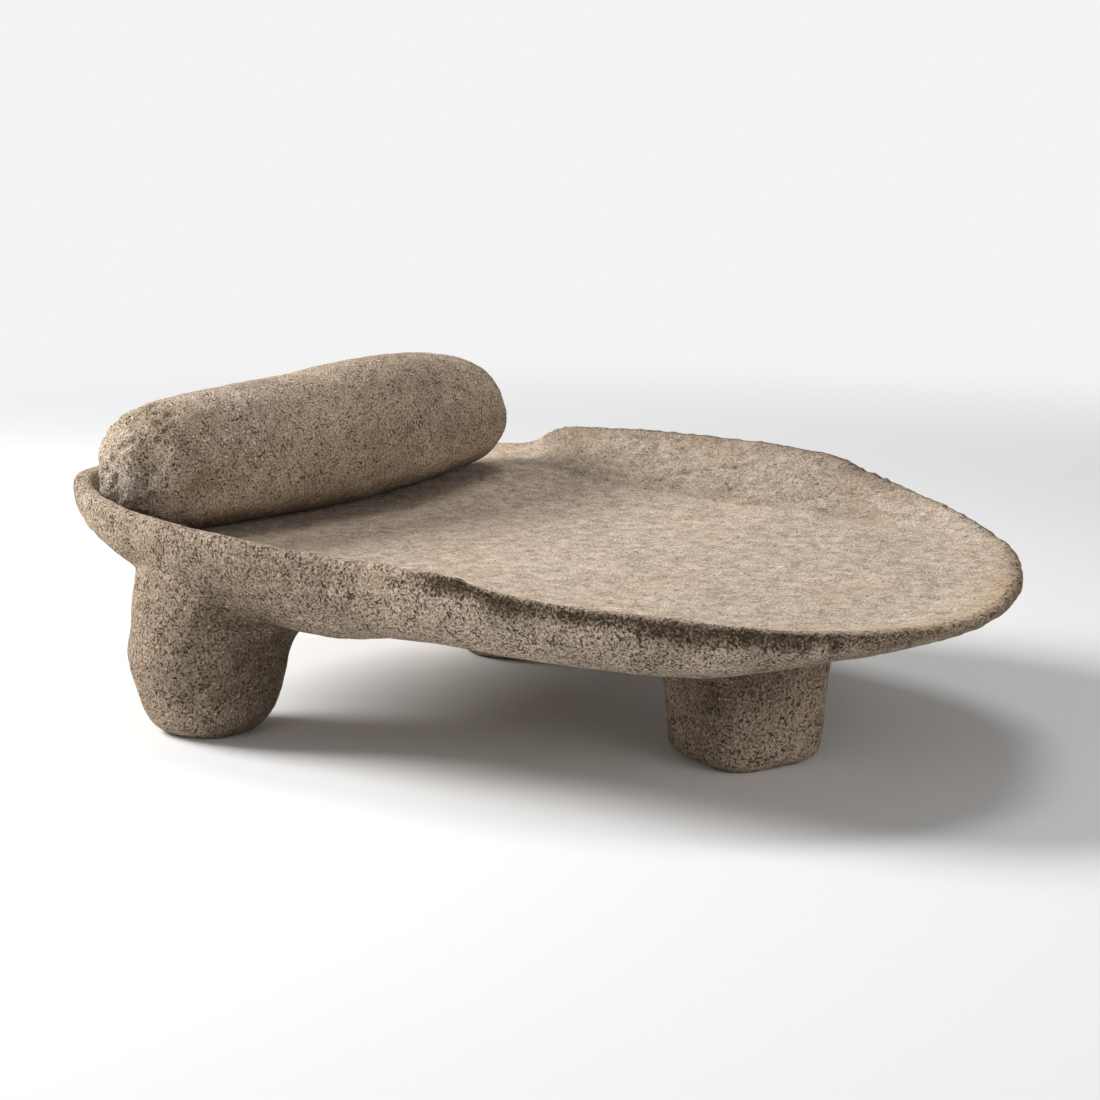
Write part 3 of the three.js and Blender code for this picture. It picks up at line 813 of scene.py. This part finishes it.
def stoneMaterial(name, look, vesicles, patches):
    # Grain over a body colour, a paler mix where it is worn, then stains, darker patches, painted shade,
    # the lip band's crust and painted shade, pores and flecks. The masks come from the mesh, and the
    # patterns from Object coordinates.
    material = bpy.data.materials.new(name)
    material.use_nodes = True
    tree = material.node_tree
    shader = tree.nodes["Principled BSDF"]
    shader.inputs["Specular IOR Level"].default_value = coats["specular"]
    place = addNode(tree, "ShaderNodeTexCoord").outputs["Object"]
    masks = ("worn", "rough", "crustAndShade", "ochre", "ash", "shade", "flecked")
    worn, rough, crustAndShade, ochreMask, ashMask, shadeMask, flecked = (
        addNode(tree, "ShaderNodeAttribute", attribute_name=mask).outputs["Fac"] for mask in masks
    )
    cover = ramp(tree, worn, 0, 1, look["cover"], look["wornCover"])
    cover = plus(tree, cover, times(tree, sums(tree, "MAXIMUM", rough, crustAndShade), coats["brokenCover"]))
    stone = addNode(tree, "ShaderNodeGroup", place, node_tree=vesicles)
    broad = addNode(tree, "ShaderNodeGroup", place, node_tree=patches)
    stone.inputs["Pore Size"].default_value = look["poreSize"] * mm
    stone.inputs["Grain Size"].default_value = look["grainSize"] * mm
    tree.links.new(cover, stone.inputs["Cover"])
    pores, grain, flecks, height = stone.outputs
    ochre, ash, shade, mottle = broad.outputs

    grains = ramp(tree, grain, *coats["grain"])
    colour = mixColour(tree, grains, look["body"], look["light"])
    mixed = plus(tree, times(tree, grains, coats["wornGrain"]), times(tree, mottle, coats["wornMottle"]))
    wornColour = mixColour(tree, mixed, look["wornDark"], look["wornLight"])
    colour = mixColour(tree, times(tree, worn, coats["worn"]), colour, wornColour)
    warm = plus(tree, times(tree, ochre, coats["ochre"]), times(tree, ochreMask, coats["ochreMask"]))
    colour = mixColour(tree, warm, colour, look["ochre"])
    cool = plus(tree, times(tree, ash, coats["ash"]), times(tree, ashMask, coats["ashMask"]))
    colour = mixColour(tree, cool, colour, mixColour(tree, grains, look["ashDark"], look["ash"]))

    unworn = sums(tree, "SUBTRACT", 1.0, times(tree, worn, coats["shelter"]))
    broadShade = times(tree, sums(tree, "SUBTRACT", 1.0, shade), coats["shade"])
    blotch = times(tree, sums(tree, "SUBTRACT", 1.0, mottle), coats["blotch"])
    darker = times(tree, plus(tree, broadShade, blotch), unworn)
    # the shade mask adds painted shade, and the darker far rim of the metate
    darker = plus(tree, darker, times(tree, shadeMask, coats["shadeMask"]))
    bandShare = ramp(tree, grains, 0, 1, coats["bandBody"], coats["bandGrain"])
    darker = plus(tree, darker, times(tree, crustAndShade, bandShare))
    colour = mixColour(tree, darker, colour, look["shade"])
    poreShare = times(tree, pores, ramp(tree, worn, 0, 1, *coats["pores"]))
    colour = mixColour(tree, poreShare, colour, look["pore"])
    bright = times(tree, flecks, plus(tree, flecked, coats["flecks"]))
    bright = times(tree, bright, sums(tree, "SUBTRACT", 1.0, crustAndShade))
    colour = mixColour(tree, bright, colour, look["fleck"])
    tree.links.new(colour, shader.inputs["Base Color"])

    roughness = (look["roughness"] + change for change in coats["roughness"])
    tree.links.new(ramp(tree, worn, 0, 1, *roughness), shader.inputs["Roughness"])
    bump = addNode(tree, "ShaderNodeBump")
    bump.inputs["Distance"].default_value = coats["bumpDepth"] * mm
    tree.links.new(ramp(tree, worn, 0, 1, *coats["bump"]), bump.inputs["Strength"])
    tree.links.new(height, bump.inputs["Height"])
    tree.links.new(bump.outputs[0], shader.inputs["Normal"])
    return material


# Camera, floor and light

# The camera: degrees round the object and over the floor, and distance, aim and lens in millimetres
view = {"azimuth": 40, "elevation": 10.5, "distance": 1288, "aim": (-10.2, 0.4, 79.5), "lens": 85.2}


def makeCamera():
    turn, climb = math.radians(view["azimuth"]), math.radians(view["elevation"])
    back = Vector((math.sin(turn) * math.cos(climb), -math.cos(turn) * math.cos(climb), math.sin(climb)))
    camera = bpy.data.objects.new("camera", bpy.data.cameras.new("camera"))
    camera.data.lens = view["lens"]
    camera.location = (Vector(view["aim"]) + back * view["distance"]) * mm
    camera.rotation_euler = back.to_track_quat("Z", "Y").to_euler()
    bpy.context.scene.collection.objects.link(camera)
    bpy.context.scene.camera = camera


studio = {
    "floor": 0.86, "floorReach": 30, "floorRoughness": 0.7, "floorSpecular": 0.2,
    "distance": 0.9, "fade": (0.55, 1.6),  # the floor pales into the distance
    "world": 0.13,
}
# Lamps, each with its place and the place it looks at in metres, its width and its power
lamps = {
    "key": ((-0.12, 0.25, 1.5), (0, 0, 0), 0.6, 6.0),
    "side": ((-1.26, -0.64, 1.0), (0, 0, 0.1), 0.8, 39.0),
    "fill": ((1.5, -0.2, 0.7), (0, 0, 0.1), 0.8, 6.0),
    "front": ((0.2, -1.6, 0.6), (0, 0, 0.1), 1.0, 2.6),
}


def seenDirectly(tree):
    # 1 for what the camera, a reflection or clear glass sees, and 0 for light that falls on things
    rays = addNode(tree, "ShaderNodeLightPath").outputs
    seen = sums(tree, "MAXIMUM", rays["Is Camera Ray"], rays["Is Glossy Ray"])
    return sums(tree, "MAXIMUM", seen, rays["Is Transmission Ray"])


def makeFloor():
    # a wide square of floor, plain near the object and paling to the world's colour further out
    reach = studio["floorReach"]
    mesh = bpy.data.meshes.new("floor")
    corners = [(-reach, -reach, 0), (reach, -reach, 0), (reach, reach, 0), (-reach, reach, 0)]
    mesh.from_pydata(corners, [], [(0, 1, 2, 3)])
    floor = bpy.data.objects.new("floor", mesh)
    bpy.context.scene.collection.objects.link(floor)
    material = bpy.data.materials.new("floorPaint")
    material.use_nodes = True
    tree = material.node_tree
    shader = tree.nodes["Principled BSDF"]
    shader.inputs["Base Color"].default_value = (studio["floor"],) * 3 + (1,)
    shader.inputs["Roughness"].default_value = studio["floorRoughness"]
    shader.inputs["Specular IOR Level"].default_value = studio["floorSpecular"]
    place = addNode(tree, "ShaderNodeTexCoord").outputs["Object"]
    away = addNode(tree, "ShaderNodeVectorMath", place, operation="LENGTH").outputs["Value"]
    pale = times(tree, ramp(tree, away, *studio["fade"]), seenDirectly(tree))
    glow = addNode(tree, "ShaderNodeEmission", (studio["distance"],) * 3 + (1,), 1.0)
    both = addNode(tree, "ShaderNodeMixShader", pale, shader.outputs[0], glow.outputs[0])
    tree.links.new(both.outputs[0], tree.nodes["Material Output"].inputs[0])
    mesh.materials.append(material)


def addLamp(name, place, aim, size, power):
    lamp = bpy.data.lights.new(name, "AREA")
    lamp.shape = "DISK"
    lamp.size = size
    lamp.energy = power
    holder = bpy.data.objects.new(name, lamp)
    holder.location = place
    holder.rotation_euler = (Vector(place) - Vector(aim)).to_track_quat("Z", "Y").to_euler()
    bpy.context.scene.collection.objects.link(holder)


def makeLight():
    # a key overhead, a strong lamp at the camera's left, weak ones at its right and in front, and a world
    # that is dim to the object and pale to the eye
    world = bpy.data.worlds.new("studio")
    bpy.context.scene.world = world
    world.use_nodes = True
    tree = world.node_tree
    background = tree.nodes["Background"]
    background.inputs[0].default_value = (1, 1, 1, 1)
    strength = ramp(tree, seenDirectly(tree), 0, 1, studio["world"], studio["distance"])
    tree.links.new(strength, background.inputs[1])
    for name, lamp in lamps.items():
        addLamp(name, *lamp)


makeCamera()
makeFloor()
makeLight()
print("camera, floor and light are in place")

vesicles, patches = vesicleGroup(), patchGroup()
metateStone = makeMetate()
metateStone.data.materials.clear()
metateStone.data.materials.append(stoneMaterial("basalt", basalt, vesicles, patches))
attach(metateStone, "metate")
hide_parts("metate")
print("metate:", len(metateStone.data.polygons), "faces")

manoStone = makeMano()
manoStone.data.materials.append(stoneMaterial("darkBasalt", darkBasalt, vesicles, patches))
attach(manoStone, "mano")
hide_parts("mano")
print("mano:", len(manoStone.data.polygons), "faces")

bpy.context.scene.view_settings.view_transform = "Standard"
